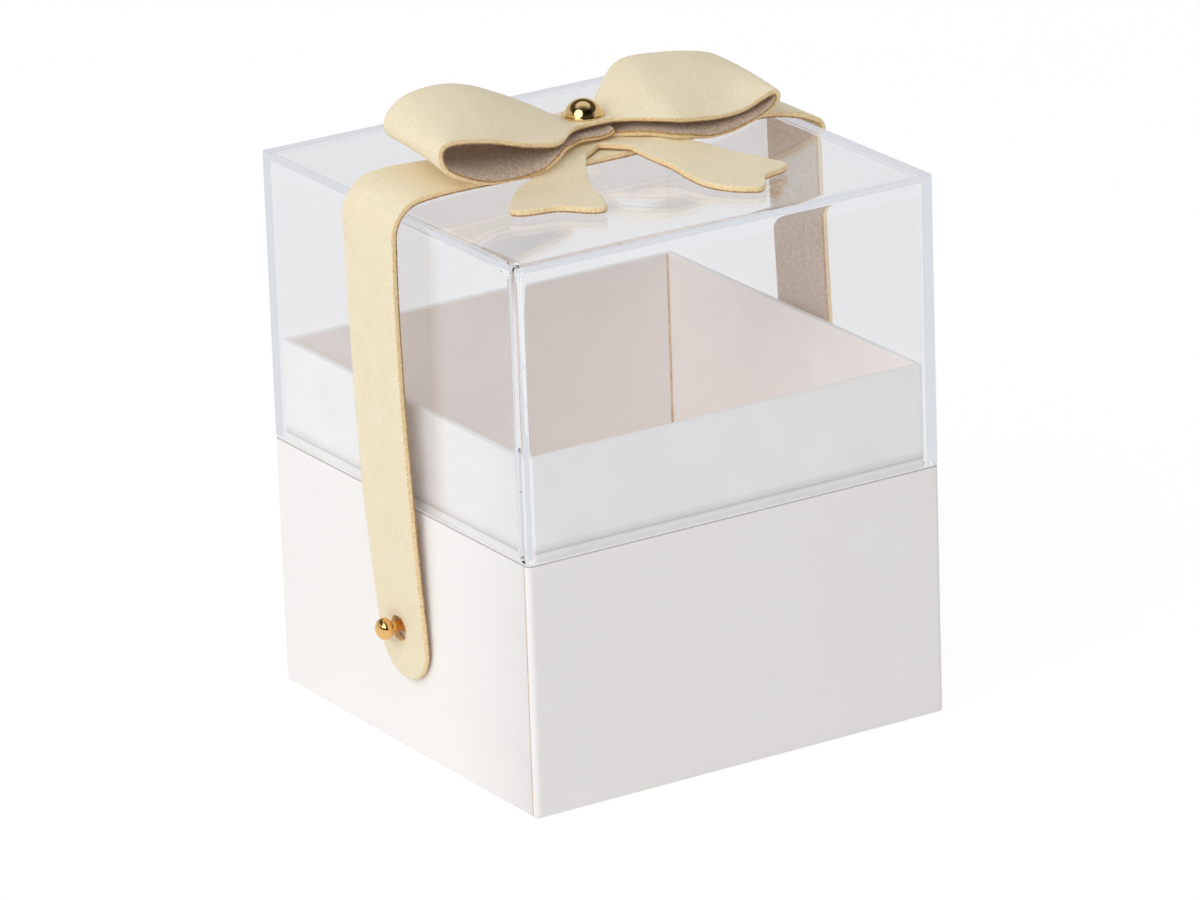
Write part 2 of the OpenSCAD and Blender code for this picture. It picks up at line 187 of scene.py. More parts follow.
def leather_grain():
    """Cream leather with a fine embossed grain: matt, with a faint uneven tone. The pebbles are
    about 0.3 mm on the real one and are drawn larger, as no finer ones would show."""
    mat, t = new_material("cream_leather_grain")
    at = add(t, "ShaderNodeTexCoord")
    blotch = add(t, "ShaderNodeTexNoise", inputs={
        "Vector": (at, "Object"), "Scale": per_metre(5.882), "Detail": 3.0, "Roughness": 0.55})
    pebble = add(t, "ShaderNodeTexNoise", inputs={
        "Vector": (at, "Object"), "Scale": per_metre(0.4545), "Detail": 2.0, "Roughness": 0.6})
    both = add(t, "ShaderNodeMix", {"data_type": "FLOAT"}, {
        "Factor": 0.75, "A": (blotch, "Fac"), "B": (pebble, "Fac")})
    colour = add(t, "ShaderNodeValToRGB", {"stops": [(0.36, "#E9DBB9"), (0.64, "#F4E8CC")]}, {
        "Fac": (both, "Result")})
    bump = add(t, "ShaderNodeBump", inputs={
        "Strength": 0.5, "Distance": 0.1 * MM, "Height": (pebble, "Fac")})
    shader = add(t, "ShaderNodeBsdfPrincipled", inputs={
        "Base Color": (colour, "Color"), "Roughness": 0.55, "Specular IOR Level": 0.35,
        "Normal": (bump, "Normal")})
    add(t, "ShaderNodeOutputMaterial", inputs={"Surface": (shader, "BSDF")})
    return mat


def fibrous(name, fibre, detail, frayed, stops, surface, nap=None):
    """Matt stuff of loose fibres, which give it an uneven tone and, where it has a nap, relief.
    The fibre's size is in millimetres, and the nap is the relief's strength and height."""
    mat, t = new_material(name)
    at = add(t, "ShaderNodeTexCoord")
    fibres = add(t, "ShaderNodeTexNoise", inputs={
        "Vector": (at, "Object"), "Scale": per_metre(fibre), "Detail": detail,
        "Roughness": frayed})
    colour = add(t, "ShaderNodeValToRGB", {"stops": stops}, {"Fac": (fibres, "Fac")})
    looks = {"Base Color": (colour, "Color"), **surface}
    if nap:
        bump = add(t, "ShaderNodeBump", inputs={
            "Strength": nap[0], "Distance": nap[1] * MM, "Height": (fibres, "Fac")})
        looks["Normal"] = (bump, "Normal")
    shader = add(t, "ShaderNodeBsdfPrincipled", inputs=looks)
    add(t, "ShaderNodeOutputMaterial", inputs={"Surface": (shader, "BSDF")})
    return mat


def covering_paper():
    """Off-white uncoated covering paper, pasted tight: smooth with a faint fibre mottle, and a
    fine grey line of painted shadow round the rim, where the lid's foot sits on the fold."""
    mat, t = new_material("covering_paper")
    at = add(t, "ShaderNodeTexCoord")
    mottle = add(t, "ShaderNodeTexNoise", inputs={
        "Vector": (at, "Object"), "Scale": per_metre(16.67), "Detail": 4.0, "Roughness": 0.5})
    fibre = add(t, "ShaderNodeTexNoise", inputs={
        "Vector": (at, "Object"), "Scale": per_metre(0.8333), "Detail": 3.0, "Roughness": 0.6})
    both = add(t, "ShaderNodeMix", {"data_type": "FLOAT"}, {
        "Factor": 0.6, "A": (mottle, "Fac"), "B": (fibre, "Fac")})
    paper = add(t, "ShaderNodeValToRGB", {"stops": [(0.35, "#F4F1EF"), (0.65, "#F6F4F2")]}, {
        "Fac": (both, "Result")})
    height = add(t, "ShaderNodeSeparateXYZ", inputs={"Vector": (at, "Object")})
    # Painted shadow: a thin grey line just below the top of the fold, where the lid's foot sits
    # on it
    rim = add(t, "ShaderNodeMapRange", inputs={
        "Value": (height, "Z"), "From Min": (BASE_H - 0.4) * MM, "From Max": BASE_H * MM})
    painted_rim_shadow = add(t, "ShaderNodeValToRGB", {"stops": [
        (0.2, "#FFFFFF"), (0.4, "#C3C2C3"), (0.82, "#C3C2C3"), (0.96, "#FFFFFF")]}, {
        "Fac": (rim, "Result")})
    colour = add(t, "ShaderNodeMix", {"data_type": "RGBA", "blend_type": "MULTIPLY"}, {
        "Factor": 1.0, TONE: (paper, "Color"), TINT: (painted_rim_shadow, "Color")})
    bump = add(t, "ShaderNodeBump", inputs={
        "Strength": 0.12, "Distance": 0.05 * MM, "Height": (fibre, "Fac")})
    shader = add(t, "ShaderNodeBsdfPrincipled", inputs={
        "Base Color": (colour, MIXED), "Roughness": 0.7, "Specular IOR Level": 0.3,
        "Normal": (bump, "Normal")})
    add(t, "ShaderNodeOutputMaterial", inputs={"Surface": (shader, "BSDF")})
    return mat


def lined_board():
    """Outside of the collar: board lined with smooth white paper, cooler than the base's cover.
    A soft grey line of painted shade runs just above the edge of the tray, where the lid's foot
    closes round the collar."""
    mat, t = new_material("white_lined_board")
    at = add(t, "ShaderNodeTexCoord")
    mottle = add(t, "ShaderNodeTexNoise", inputs={
        "Vector": (at, "Object"), "Scale": per_metre(11.11), "Detail": 3.0, "Roughness": 0.5})
    paper = add(t, "ShaderNodeValToRGB", {"stops": [(0.35, "#EFEEEE"), (0.65, "#F3F2F2")]}, {
        "Fac": (mottle, "Fac")})
    height = add(t, "ShaderNodeSeparateXYZ", inputs={"Vector": (at, "Object")})
    # Painted shade: a soft grey band a little above the tray's edge, darkest about 2 mm up
    foot = add(t, "ShaderNodeMapRange", inputs={
        "Value": (height, "Z"), "From Min": BASE_H * MM, "From Max": (BASE_H + 4) * MM})
    painted_foot_shade = add(t, "ShaderNodeValToRGB", {"stops": [
        (0.34, "#FFFFFF"), (0.44, "#D8D4D0"), (0.58, "#F0EEEC"), (0.9, "#FFFFFF")]}, {
        "Fac": (foot, "Result")})
    colour = add(t, "ShaderNodeMix", {"data_type": "RGBA", "blend_type": "MULTIPLY"}, {
        "Factor": 1.0, TONE: (paper, "Color"), TINT: (painted_foot_shade, "Color")})
    bump = add(t, "ShaderNodeBump", inputs={
        "Strength": 0.08, "Distance": 0.05 * MM, "Height": (mottle, "Fac")})
    shader = add(t, "ShaderNodeBsdfPrincipled", inputs={
        "Base Color": (colour, MIXED), "Roughness": 0.5, "Specular IOR Level": 0.35,
        "Normal": (bump, "Normal")})
    add(t, "ShaderNodeOutputMaterial", inputs={"Surface": (shader, "BSDF")})
    return mat


def collar_lining():
    """Inside of the collar: the board's warmer, uncoated back, slightly cloudy and fibrous."""
    mat, t = new_material("uncoated_board_back")
    at = add(t, "ShaderNodeTexCoord")
    mottle = add(t, "ShaderNodeTexNoise", inputs={
        "Vector": (at, "Object"), "Scale": per_metre(9.091), "Detail": 4.0, "Roughness": 0.55})
    fibre = add(t, "ShaderNodeTexNoise", inputs={
        "Vector": (at, "Object"), "Scale": per_metre(1.111), "Detail": 3.0, "Roughness": 0.6})
    colour = add(t, "ShaderNodeValToRGB", {"stops": [(0.35, "#F4F0EE"), (0.65, "#F7F4F2")]}, {
        "Fac": (mottle, "Fac")})
    bump = add(t, "ShaderNodeBump", inputs={
        "Strength": 0.15, "Distance": 0.06 * MM, "Height": (fibre, "Fac")})
    shader = add(t, "ShaderNodeBsdfPrincipled", inputs={
        "Base Color": (colour, "Color"), "Roughness": 0.8, "Specular IOR Level": 0.25,
        "Normal": (bump, "Normal")})
    add(t, "ShaderNodeOutputMaterial", inputs={"Surface": (shader, "BSDF")})
    return mat


def clear_acrylic():
    """Cast acrylic sheet: clear with polished faces, and soft grey-white edges, where rays caught
    between its faces for more than five bounces take a painted grey-white glow instead. Lamps
    shine through it."""
    mat, t = new_material("clear_cast_acrylic")
    path = add(t, "ShaderNodeLightPath")
    polished = add(t, "ShaderNodeBsdfPrincipled", inputs={
        "Base Color": linear("#F4F4F6"), "Roughness": 0.0, "IOR": 1.49,
        "Transmission Weight": 1.0})
    # Painted glow: a grey-white emission that stands in for the light scattered in the sheet's
    # edges
    painted_edge_glow = add(t, "ShaderNodeEmission", inputs={
        "Color": linear("#DDE0E5"), "Strength": 1.0})
    caught = add(t, "ShaderNodeMath", {"operation": "GREATER_THAN"}, {
        0: (path, "Ray Depth"), 1: 5.0})
    sheet = add(t, "ShaderNodeMixShader", inputs={
        0: (caught, "Value"), 1: (polished, "BSDF"), 2: (painted_edge_glow, "Emission")})
    lamps = add(t, "ShaderNodeMath", {"operation": "MAXIMUM"}, {
        0: (path, "Is Shadow Ray"), 1: (path, "Is Diffuse Ray")})
    open_air = add(t, "ShaderNodeBsdfTransparent", inputs={"Color": linear("#FFFFFF")})
    mixed = add(t, "ShaderNodeMixShader", inputs={
        0: (lamps, "Value"), 1: (sheet, "Shader"), 2: (open_air, "BSDF")})
    add(t, "ShaderNodeOutputMaterial", inputs={"Surface": (mixed, "Shader")})
    return mat


def plated(name, tone, mark, detail, smoothest, roughest):
    """Plated metal whose polishing or turning marks, in millimetres, make its gloss uneven."""
    mat, t = new_material(name)
    at = add(t, "ShaderNodeTexCoord")
    marks = add(t, "ShaderNodeTexNoise", inputs={
        "Vector": (at, "Object"), "Scale": per_metre(mark), "Detail": detail})
    rough = add(t, "ShaderNodeMapRange", inputs={
        "Value": (marks, "Fac"), "To Min": smoothest, "To Max": roughest})
    shader = add(t, "ShaderNodeBsdfPrincipled", inputs={
        "Base Color": linear(tone), "Metallic": 1.0, "Roughness": (rough, "Result")})
    add(t, "ShaderNodeOutputMaterial", inputs={"Surface": (shader, "BSDF")})
    return mat


GRAIN = leather_grain()
# Die-cut edge of the leather: tan fibres, quite rough, drawn a little coarser than they are
EDGE = fibrous("leather_raw_edge", 0.5263, 4.0, 0.7,
               [(0.3, "#DDB883"), (0.5, "#F3D8AA"), (0.72, "#FAEACC")],
               {"Roughness": 0.9, "Specular IOR Level": 0.15}, nap=(0.7, 0.15))
# Lower border of that cut: darker brown loose fibres, partly the cut's own colour and partly
# painted shade where the edge turns under
FRINGE_AND_SHADE = fibrous("leather_cut_fringe_and_shade", 0.4348, 4.0, 0.75,
                 [(0.35, "#8C6A43"), (0.52, "#C29C6C"), (0.7, "#E6CBA0")],
                 {"Roughness": 0.95, "Specular IOR Level": 0.1}, nap=(0.9, 0.2))
# Flesh side of the leather: short grey-beige suede nap with a faint sheen
FLESH = fibrous("leather_flesh_side", 0.7143, 5.0, 0.75,
                [(0.3, "#9E8772"), (0.5, "#C6B09A"), (0.72, "#E4D3C0")],
                {"Roughness": 0.95, "Specular IOR Level": 0.1, "Sheen Weight": 0.3,
                 "Sheen Roughness": 0.5}, nap=(0.8, 0.2))
PAPER = covering_paper()
# Cut edge of paper and board, where the tan glue line and fibres show
CUT = fibrous("paper_cut_edge", 2.5, 3.0, 0.6, [(0.3, "#C6A382"), (0.7, "#EAD3B8")],
              {"Roughness": 0.85, "Specular IOR Level": 0.2})
LINED = lined_board()
LINING = collar_lining()
# Raw greyboard: grey-brown recycled fibre with darker specks
GREYBOARD = fibrous("raw_greyboard", 1.111, 4.0, 0.7, [(0.3, "#8D8377"), (0.7, "#B9AE9F")],
                    {"Roughness": 0.9, "Specular IOR Level": 0.2})
# Gummed kraft paper that holds the tray's corners: plain brown with long fibres
KRAFT = fibrous("gummed_kraft", 2.0, 4.0, 0.6, [(0.3, "#A9825A"), (0.7, "#C8A27A")],
                {"Roughness": 0.8, "Specular IOR Level": 0.3})
ACRYLIC = clear_acrylic()
# Polished gold-plated brass: mirror-like, with the faintest polish marks. The studs are a
# deeper gold than the rivet.
GOLD = plated("pale_gold_plated_brass", "#EBCB90", 1.111, 2.0, 0.06, 0.14)
STUD_GOLD = plated("deep_gold_plated_brass", "#F0C07C", 1.111, 2.0, 0.06, 0.14)
# Nickel-plated screw steel with a satin turned face
STEEL = plated("satin_plated_steel", "#B9B6B0", 1.429, 3.0, 0.25, 0.4)

# ---------- leather pieces ----------
# Rings round a raw edge, from the grain side to the flesh side: how far each stands out in
# millimetres, and its height as a part of the thickness
EDGE_RINGS = [(0.09, 0.46), (0.16, 0.32), (0.17, 0.08), (0.16, -0.2), (0.09, -0.44)]
# How far loose fibres move the edge, in millimetres, and how often in a millimetre
FRAYS = [(0.05, 1.3), (0.04, 4.1)]
# Places of a leather piece's materials, and those of the bands between its edge's rings
GRAIN_SIDE, CUT_EDGE, FLESH_SIDE, CUT_FRINGE_AND_SHADE = range(4)
# The last two bands take the fringe: the cut's darker fibres with painted shade under the edge
EDGE_BANDS = [GRAIN_SIDE, CUT_EDGE, CUT_EDGE, CUT_EDGE, CUT_FRINGE_AND_SHADE, CUT_FRINGE_AND_SHADE]


def leather_piece(name, middle, faces, flat=(), thin=None):
    """A piece of leather round its middle surface: smooth grain side, suede flesh side and a
    raw edge along each border, whose fibres stand out unevenly. The points in flat lie
    against the next piece."""
    count = len(middle)
    normals = [Vector() for _ in middle]
    follows = {}
    for f in faces:
        n = (middle[f[2]] - middle[f[0]]).cross(middle[f[-1]] - middle[f[1]])
        for a, b in zip(f, f[1:] + f[:1]):
            normals[a] += n
            follows[a, b] = True
    normals = [n.normalized() for n in normals]
    half = [LEATHER_T / 2 * (thin[i] if thin else 1.0) for i in range(count)]
    verts = [p + n * h for p, n, h in zip(middle, normals, half)]
    verts += [p - n * h for p, n, h in zip(middle, normals, half)]
    skin = list(faces) + [tuple(count + i for i in f[::-1]) for f in faces]
    index = [GRAIN_SIDE] * len(faces) + [FLESH_SIDE] * len(faces)
    border = {a: b for a, b in follows if (b, a) not in follows}
    joint = set(flat) | {count + i for i in flat}
    while border:
        loop = [next(iter(border))]
        while border[loop[-1]] != loop[0]:
            loop.append(border[loop[-1]])
        for i in loop:
            del border[i]
        rings = [loop]
        for out, height in EDGE_RINGS:
            ring = []
            for k, i in enumerate(loop):
                along = middle[loop[(k + 1) % len(loop)]] - middle[loop[k - 1]]
                outward = along.cross(normals[i]).normalized()
                reach = out + sum(far * noise.noise(middle[i] * often) for far, often in FRAYS)
                if i in flat:
                    outward.x = 0.0
                    outward = outward.normalized() if outward.length > 0.3 else Vector()
                    joint.add(len(verts))
                ring.append(len(verts))
                verts.append(middle[i] + outward * reach + normals[i] * 2 * half[i] * height)
            rings.append(ring)
        rings.append([count + i for i in loop])
        for band, a, b in zip(EDGE_BANDS, rings, rings[1:]):
            for k in range(len(loop)):
                m = (k + 1) % len(loop)
                skin.append((a[k], b[k], b[m], a[m]))
                index.append(band)
    piece = finish_mesh(name, verts, skin, [GRAIN, EDGE, FLESH, FRINGE_AND_SHADE], index)
    for e in piece.data.edges:
        if e.vertices[0] in joint and e.vertices[1] in joint:
            e.use_edge_sharp = True
    return piece


def leather_grid(name, grid, thin=None):
    """A piece of leather whose middle surface is a grid of points."""
    cols = len(grid[0])
    faces = [(i * cols + j, i * cols + cols + j, i * cols + cols + j + 1, i * cols + j + 1)
             for i in range(len(grid) - 1) for j in range(cols - 1)]
    return leather_piece(name, [p for row in grid for p in row], faces, thin=thin)


def layer_z(n):
    return (n - 0.5) * (LEATHER_T + LAYER_GAP) + LAYER_GAP / 2


# ---------- the bow's loops ----------
# Middle of the strip as (x, height of front edge, height of back edge, how far the front edge
# is pushed forward), from its left end at the knot round the left loop, over the top and round
# the right loop to its other end
LOOP_STATIONS = (
    [(3.8, 3.4, 3.9, 0.7), (2.4, 2.8, 3.8, 0.9), (0.5, 2.6, 3.75, 1), (-3, 2.8, 3.7, 1)]
    + [(-7.5, 2.9, 3.6, 0.3), (-11.5, 3.7, 3.6), (-14.5, 3, 3.8), (-17.5, 1.5, 4),
       (-20.5, 0.8, 4.2), (-25, 0.6, 4.4), (-31, 1, 4.7), (-36.5, 2.8, 5.6), (-41, 5.4, 7.2),
       (-42.4, 8.6, 9.6), (-41.1, 10.7, 12.2), (-37, 10.8, 14.5), (-29.5, 9.4, 15.1),
       (-22.5, 7.3, 13.7), (-15.5, 5.9, 10.8), (-8.5, 5.7, 7.4)]
    + [(x, 5.42, 5.42) for x in (-5, -2, 0.8, 3.5, 5)]
    + [(6.5, 5.4, 6.1), (9.2, 5.5, 8.6), (13.2, 5.5, 11.4), (17.7, 4.9, 12.4),
       (24.5, 4.2, 11.9), (30.3, 4.5, 11.1), (35.3, 6.2, 10), (38, 6.9, 9), (38.9, 5.9, 8.2),
       (38.3, 4.5, 7), (36.6, 3.3, 6), (33.8, 2.2, 5.2), (30.2, 1.2, 4.6), (26, 0.5, 4.2),
       (21, 0.6, 4), (16.7, 1.6, 3.8), (10.6, 2.5, 3.4), (7.5, 2.4, 2.7),
       (5, 2.15, 2.2, -0.5), (3.4, 2.15, 2.15, -1.2), (1.8, 2.15, 2.15, -1.8)])
LOOP_STEPS = 6
# Half width of the strip at the waist, how far from the rivet it starts to flare and over what
# length, and how far to the front and back the loops reach
WAIST_R = 4.8
WAIST_FLAT = 3
WAIST_FLARE = 13
LOBE_FRONT = 13.5
LOBE_BACK = 9.5
# How much shorter the left loop is along its back edge
LEFT_SKEW = 0.03
# Part of its thickness that the strip loses under the rivet, and how far from it
PRESSED = 0.2
PRESSED_REACH = 7
# Places across the strip, from its front edge to its back edge
ACROSS_LOOP = [0, 0.035, 0.08, 0.14, 0.21, 0.29, 0.38, 0.47, 0.56, 0.65, 0.74, 0.83, 0.9,
               0.96, 1]


def loop_row(s):
    """Points across the strip, which rises from its front edge to its back edge."""
    x, low, high, forward = s
    flare = ease((abs(x) - WAIST_FLAT) / WAIST_FLARE)
    front = -(WAIST_R + (LOBE_FRONT - WAIST_R) * flare) - forward
    back = WAIST_R + (LOBE_BACK - WAIST_R) * flare
    skew = LEFT_SKEW if x < 0 else 0.0
    # The lower the strip lies, the sooner it rises behind its front edge
    power = 0.6 + 0.4 * ease((high - 5) / 5)
    return [BOW + Vector((x * (1 - skew * v), lerp(front, back, v),
                          lerp(low, high, math.sin(math.pi / 2 * v**power))))
            for v in ACROSS_LOOP]


def make_loops():
    """One strip for both loops, pressed thinner where the rivet holds its layers together."""
    stations = spline([Vector(s if len(s) == 4 else (*s, 0)) for s in LOOP_STATIONS],
                      LOOP_STEPS)
    thin = [1 - PRESSED * bell(s[0], PRESSED_REACH) for s in stations for _ in ACROSS_LOOP]
    return leather_grid("bow_loops_leather", [loop_row(s) for s in stations], thin)


# ---------- the bow's tails ----------
# Middle line of each tail in plan with its half width, from the rivet to its end
LEFT_TAIL = [(0, 0, 4.6), (-5.3, -4.2, 4.4), (-10.3, -8.7, 4.2), (-15.8, -16.2, 5.8),
             (-20.4, -22, 8.7), (-24.2, -28.5, 9.7)]
RIGHT_TAIL = [(0, 0, 4.6), (4.4, -5, 3.9), (8.3, -10.8, 3.4), (14.2, -18.3, 6.2),
              (18.4, -29.5, 9.2), (22.9, -36, 8.4)]
TAIL_STEPS = 10
TAIL_GAP = 0.15
TAIL_REST = LID_TOP - STRAP_TOP + TAIL_GAP + LEATHER_T / 2
TAIL_DROP_START = -10.7
# How far a tail lifts to lie over the strap beside the knot, and where
TAIL_HUMP = 0.42
HUMP_START = 6
HUMP_RISE = 14
# Depth of the end's notch and of its rounded outer corners, and their parts of its half width
NOTCH = 2.0
NOTCH_SHARE = 0.75
LOBE_ROUND = 1.6
LOBE_SHARE = 0.2
# Part of the tail's length from which its rows bend to follow the cut
CUT_FROM = 0.6
ACROSS_HALF_TAIL = [-1, -0.96, -0.91, -0.85, -0.78, -0.68, -0.55, -0.4, -0.25, -0.1, 0]


def tail_z(x, y, gentle, lift):
    """Height of a tail's middle: on the strap by the knot, then down to rest on the lid."""
    over = layer_z(1) + TAIL_HUMP * ease((abs(x) - HUMP_START) / HUMP_RISE)
    past = min(y - TAIL_DROP_START, 0)
    rest = TAIL_REST + lift
    return rest + (over - rest) * math.exp(past / gentle)


def tail_cut(v):
    """How far the end is cut back at a place across it, from -1 to 1: a notch and two lobes."""
    notch = NOTCH * (0.5 + 0.5 * math.cos(math.pi * min(abs(v) / NOTCH_SHARE, 1)))
    past = (max(abs(v), 1 - LOBE_SHARE) - (1 - LOBE_SHARE)) / LOBE_SHARE
    return notch + LOBE_ROUND * (1 - math.sqrt(max(0.0, 1 - past**2)))


def make_tail(name, line, gentle, lift, over):
    """A tail lies over its neighbour by a hair where they leave the knot together."""
    across = ACROSS_HALF_TAIL + [-v for v in ACROSS_HALF_TAIL[-2::-1]]
    p = spline([Vector(s) for s in line], TAIL_STEPS)
    n = len(p) - 1
    grid = []
    for i, s in enumerate(p):
        d = p[min(i + 1, n)] - p[max(i - 1, 0)]
        d = Vector((d.x, d.y)).normalized()
        side = Vector((-d.y, d.x))
        cut = ease((i / n - CUT_FROM) / (1 - CUT_FROM))
        row = []
        for v in across:
            q = Vector((s.x, s.y)) + v * s.z * side - cut * tail_cut(v) * d
            row.append(BOW + Vector((q.x, q.y, tail_z(q.x, q.y, gentle, lift) + over)))
        grid.append(row)
    return leather_grid(name, grid)


# ---------- the strap ----------
# Over each edge of the lid, slack on the left and drawn close on the right: how far out the leg
# hangs, radius of the bend, where in degrees the bend begins, length of the easy run to it,
# how far the leg bulges near its top and its foot, and height of the bend's middle
BENDS = {-1: (54.6, 8.0, 84, 10, (0, -0.4), SPLIT_Z),
         1: (51.6, 3.2, 62, 15, (0.5, 0.8), LID_TOP - 0.9)}
# How far its line keeps its direction past the knot, below the bend and above the tip
TOP_EASE, LEG_EASE, TIP_EASE = 15, 28, 33
# The leg's lean to the front, in parts of its height and of the tip's place
LEAN_TOP, LEAN_FOOT, LEAN_NEAR_TIP = 0.5, 0.3, 0.6
KNOT_STEPS = 6
TOP_STEPS = 30
BEND_STEPS = 24
LEG_STEPS = 90
# The left half lifts along its back edge on the lid, and its leather waves more
TWIST, TWIST_AT, TWIST_REACH, TWIST_HALF = 0.9, 46, 12, 9
WAVES = {-1: 0.18, 1: 0.06}
WAVES_ALONG, WAVES_ACROSS = 0.06, 0.05
# The right half runs a little aslant to the back where it crosses the lid
ASLANT = 0.8
# The leather is dished round the hole by the stud's ball
DISH, DISH_REACH = 0.4, 1.1


def strap_line(side):
    """The strap's outer line from the rivet over the lid's edge and down to the foot of its
    tip."""
    leg_x, radius, begin, slack, bulge, bend_z = BENDS[side]
    centre = Vector((leg_x - radius, bend_z))
    turn = [math.radians(begin * (1 - k / BEND_STEPS)) for k in range(BEND_STEPS + 1)]
    arc = [centre + radius * Vector((math.cos(a), math.sin(a))) for a in turn]
    before = arc[0] - slack * Vector((math.sin(turn[0]), -math.cos(turn[0])))
    foot = TIP_Z - TIP_R
    line = [Vector((lerp(BOW.x * side, KNOT_FLAT, k / KNOT_STEPS), STRAP_TOP))
            for k in range(KNOT_STEPS)]
    line += [bezier(Vector((KNOT_FLAT, STRAP_TOP)),
                    Vector((KNOT_FLAT + TOP_EASE, STRAP_TOP)),
                    before, arc[0], k / TOP_STEPS) for k in range(TOP_STEPS)]
    # A bend that ends at the leg's top leaves that point to the leg
    line += arc[:-1] if bend_z == SPLIT_Z else arc
    return line + [bezier(Vector((leg_x, SPLIT_Z)),
                          Vector((leg_x + bulge[0], SPLIT_Z - LEG_EASE)),
                          Vector((leg_x + bulge[1], foot + TIP_EASE)),
                          Vector((TIP_X, foot)), k / LEG_STEPS) for k in range(LEG_STEPS + 1)]


def leg_middle(z):
    """How far the leg leans to the front at a height, and half its width there."""
    fall = SPLIT_Z - TIP_Z
    t = 0.0
    # Thirty small steps settle the place on the lean's curve that has this height
    for _ in range(30):
        at = bezier(SPLIT_Z, SPLIT_Z - LEAN_TOP * fall, TIP_Z + LEAN_FOOT * fall, TIP_Z, t)
        t = min(max(t + (at - z) / (1.2 * fall), 0.0), 1.0)
    lean = bezier(0, 0, TIP_Y * LEAN_NEAR_TIP, TIP_Y, t)
    return lean, STRAP_W / 2 - TIP_NARROW * t**3


# Spacing of the strap's points in millimetres along its borders and inside them, and how many
# there are down the leg, round the tip, across the joint at the rivet and round the hole
BORDER_PITCH = 0.8
INNER_PITCH = 1.1
LEG_POINTS = 110
TIP_POINTS = 40
JOINT_POINTS = 12
HOLE_POINTS = 48
HOLE_RINGS = (0.35, 0.8, 1.35, 2.0)
# Room that the inner points leave to the borders and to the hole, the half width that they
# need, and how many columns of them lie on each side of the middle
BORDER_ROOM = 0.5
HOLE_ROOM = 2.4
LEAST_HALF = 1.5
COLUMNS = 7


